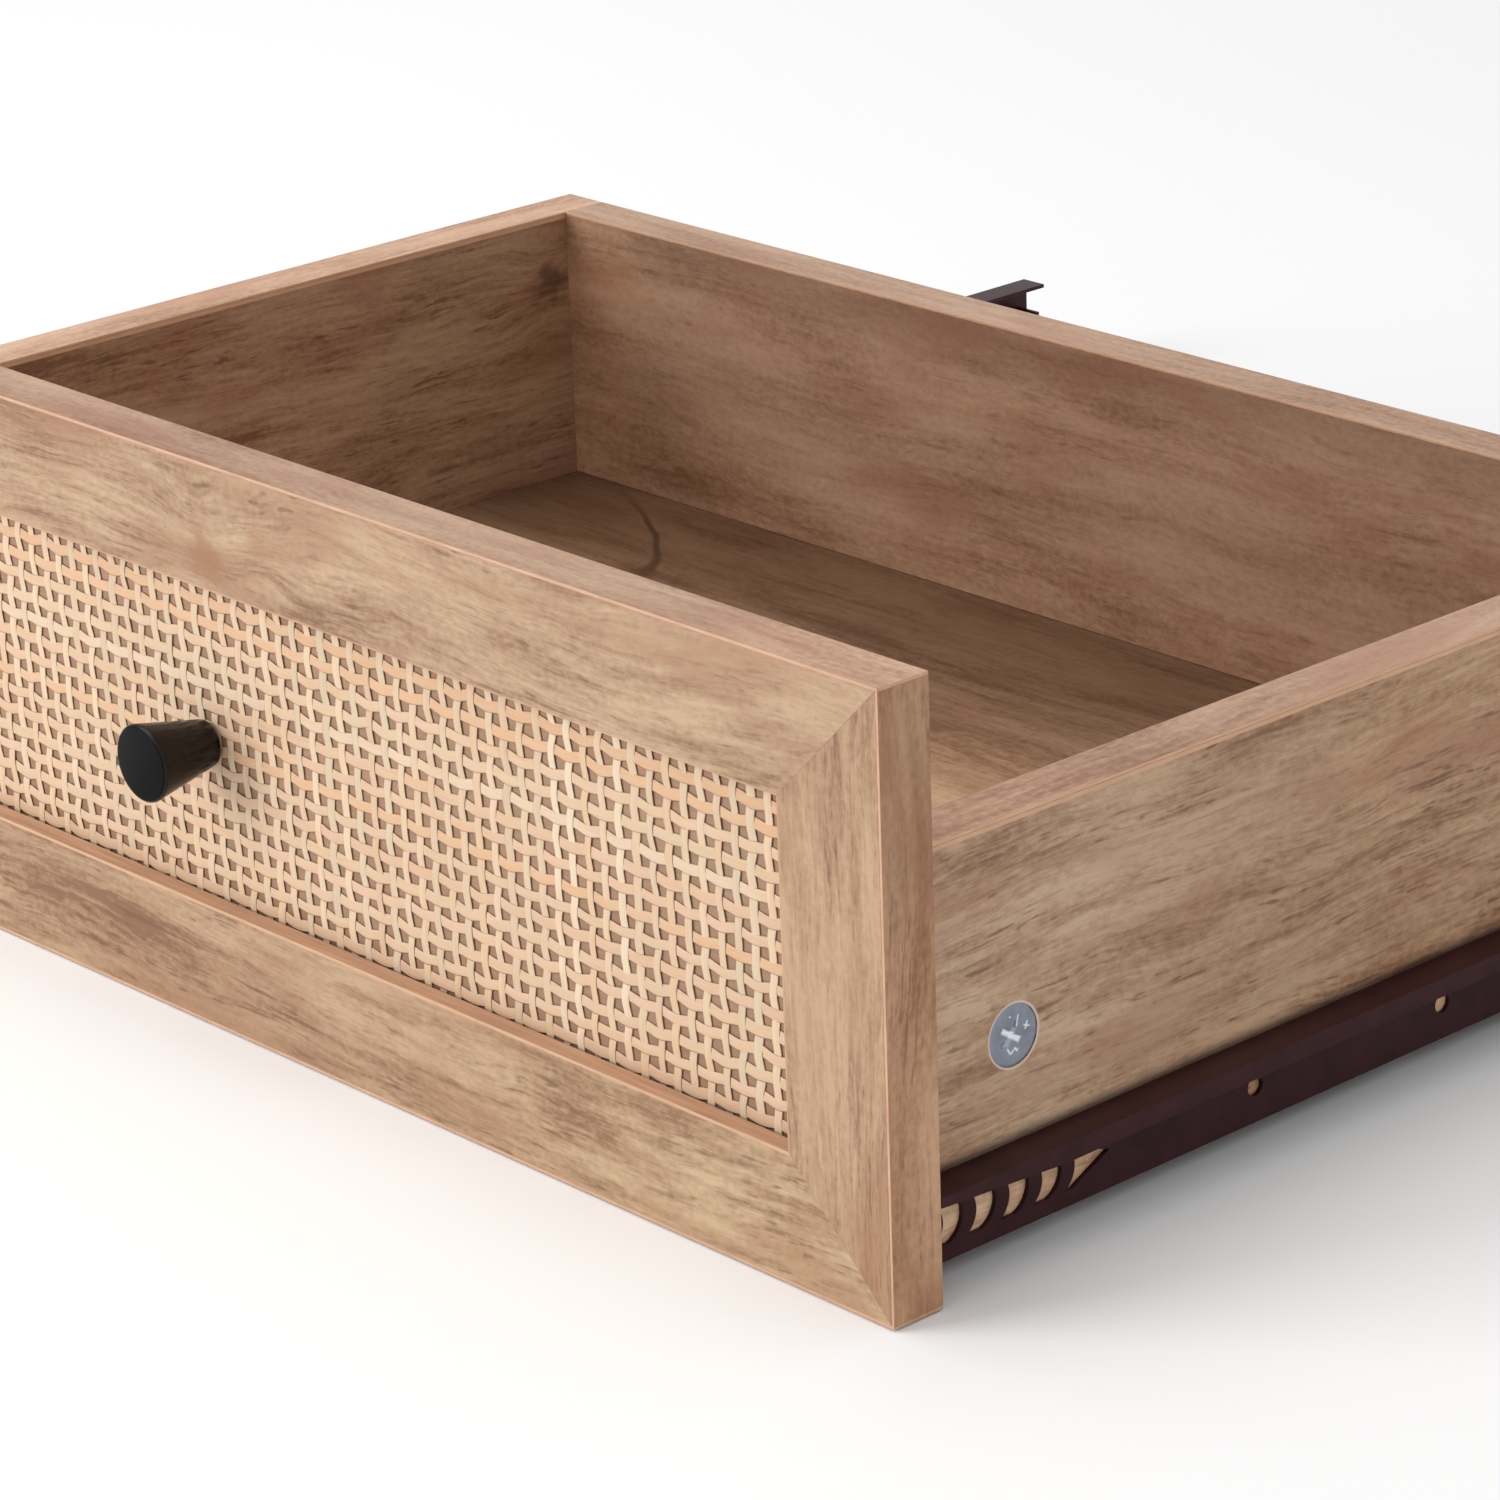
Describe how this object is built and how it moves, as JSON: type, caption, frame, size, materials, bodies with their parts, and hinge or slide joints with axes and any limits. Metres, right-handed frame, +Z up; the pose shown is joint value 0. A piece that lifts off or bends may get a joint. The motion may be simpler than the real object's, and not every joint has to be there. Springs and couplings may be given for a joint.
{
  "type": "under desk drawer",
  "caption": "Shallow board drawer with a framed woven-cane front and a small black knob, running in and out of a desk on bottom-mounted roller runners.",
  "frame": {"origin": "middle of the desk's opening plane, at the height of the drawer front's lower edge", "axes": "+X to the right seen from the front, +Y into the desk, +Z up"},
  "size_m": [0.494, 0.5519, 0.149],
  "materials": {
    "wood_laminate": "satin oak-look laminate on board",
    "backing_board": "brown laminated hardboard",
    "bottom_board": "satin oak-look hardboard",
    "cane": "natural woven cane, slightly glossy",
    "edge_band": "satin edge band",
    "knob_black": "satin black",
    "zinc_steel": "zinc plated",
    "cam_zinc": "die-cast zinc, dull",
    "dowel_beech": "bare beech",
    "runner_steel": "dark brown epoxy, semi-gloss",
    "axle_steel": "zinc plated",
    "roller_nylon": "natural nylon"
  },
  "bodies": {
    "desk_runners": {"desk_runner_left": "runner_steel", "desk_runner_right": "runner_steel", "front_axle_left": "axle_steel", "front_axle_right": "axle_steel"},
    "drawer": {"front_top_rail": "wood_laminate", "front_bottom_rail": "wood_laminate", "front_left_stile": "wood_laminate", "front_right_stile": "wood_laminate", "front_backing_panel": "backing_board", "cane_webbing": "cane", "front_top_band": "edge_band", "front_bottom_band": "edge_band", "front_left_band": "edge_band", "front_right_band": "edge_band", "left_side_panel": "wood_laminate", "right_side_panel": "wood_laminate", "back_panel": "wood_laminate", "bottom_panel": "bottom_board", "left_side_band": "edge_band", "right_side_band": "edge_band", "back_band": "edge_band", "knob": "knob_black", "knob_washer": "zinc_steel", "knob_screw": "zinc_steel", "cam_locks": "cam_zinc", "cam_bolts": "cam_zinc", "front_dowels": "dowel_beech", "back_screws": "zinc_steel", "drawer_runner_left": "runner_steel", "drawer_runner_right": "runner_steel", "runner_screws_left": "zinc_steel", "runner_screws_right": "zinc_steel", "rear_axle_left": "axle_steel", "rear_axle_right": "axle_steel"},
    "rear_roller_left": {"rear_roller_left": "roller_nylon"},
    "rear_roller_right": {"rear_roller_right": "roller_nylon"},
    "front_roller_left": {"front_roller_left": "roller_nylon"},
    "front_roller_right": {"front_roller_right": "roller_nylon"}
  },
  "joints": [
    {"name": "drawer_slide", "type": "slide", "parent": "desk_runners", "child": "drawer", "axis": [0, -1, 0], "range_m": [-0.22, 0.01]},
    {"name": "rear_roller_left_turn", "type": "hinge", "parent": "drawer", "child": "rear_roller_left", "pos_m": [-0.23915, 0.082, 0.0169], "axis": [1, 0, 0], "continuous": true},
    {"name": "rear_roller_right_turn", "type": "hinge", "parent": "drawer", "child": "rear_roller_right", "pos_m": [0.23915, 0.082, 0.0169], "axis": [1, 0, 0], "continuous": true},
    {"name": "front_roller_left_turn", "type": "hinge", "parent": "desk_runners", "child": "front_roller_left", "pos_m": [-0.23995, 0.029, 0.016], "axis": [1, 0, 0], "continuous": true},
    {"name": "front_roller_right_turn", "type": "hinge", "parent": "desk_runners", "child": "front_roller_right", "pos_m": [0.23995, 0.029, 0.016], "axis": [1, 0, 0], "continuous": true}
  ],
  "couplings": [
    {"joint": "rear_roller_left_turn", "follows": "drawer_slide", "rad_per_m": 100},
    {"joint": "rear_roller_right_turn", "follows": "drawer_slide", "rad_per_m": 100},
    {"joint": "front_roller_left_turn", "follows": "drawer_slide", "rad_per_m": 117.65},
    {"joint": "front_roller_right_turn", "follows": "drawer_slide", "rad_per_m": 117.65}
  ]
}
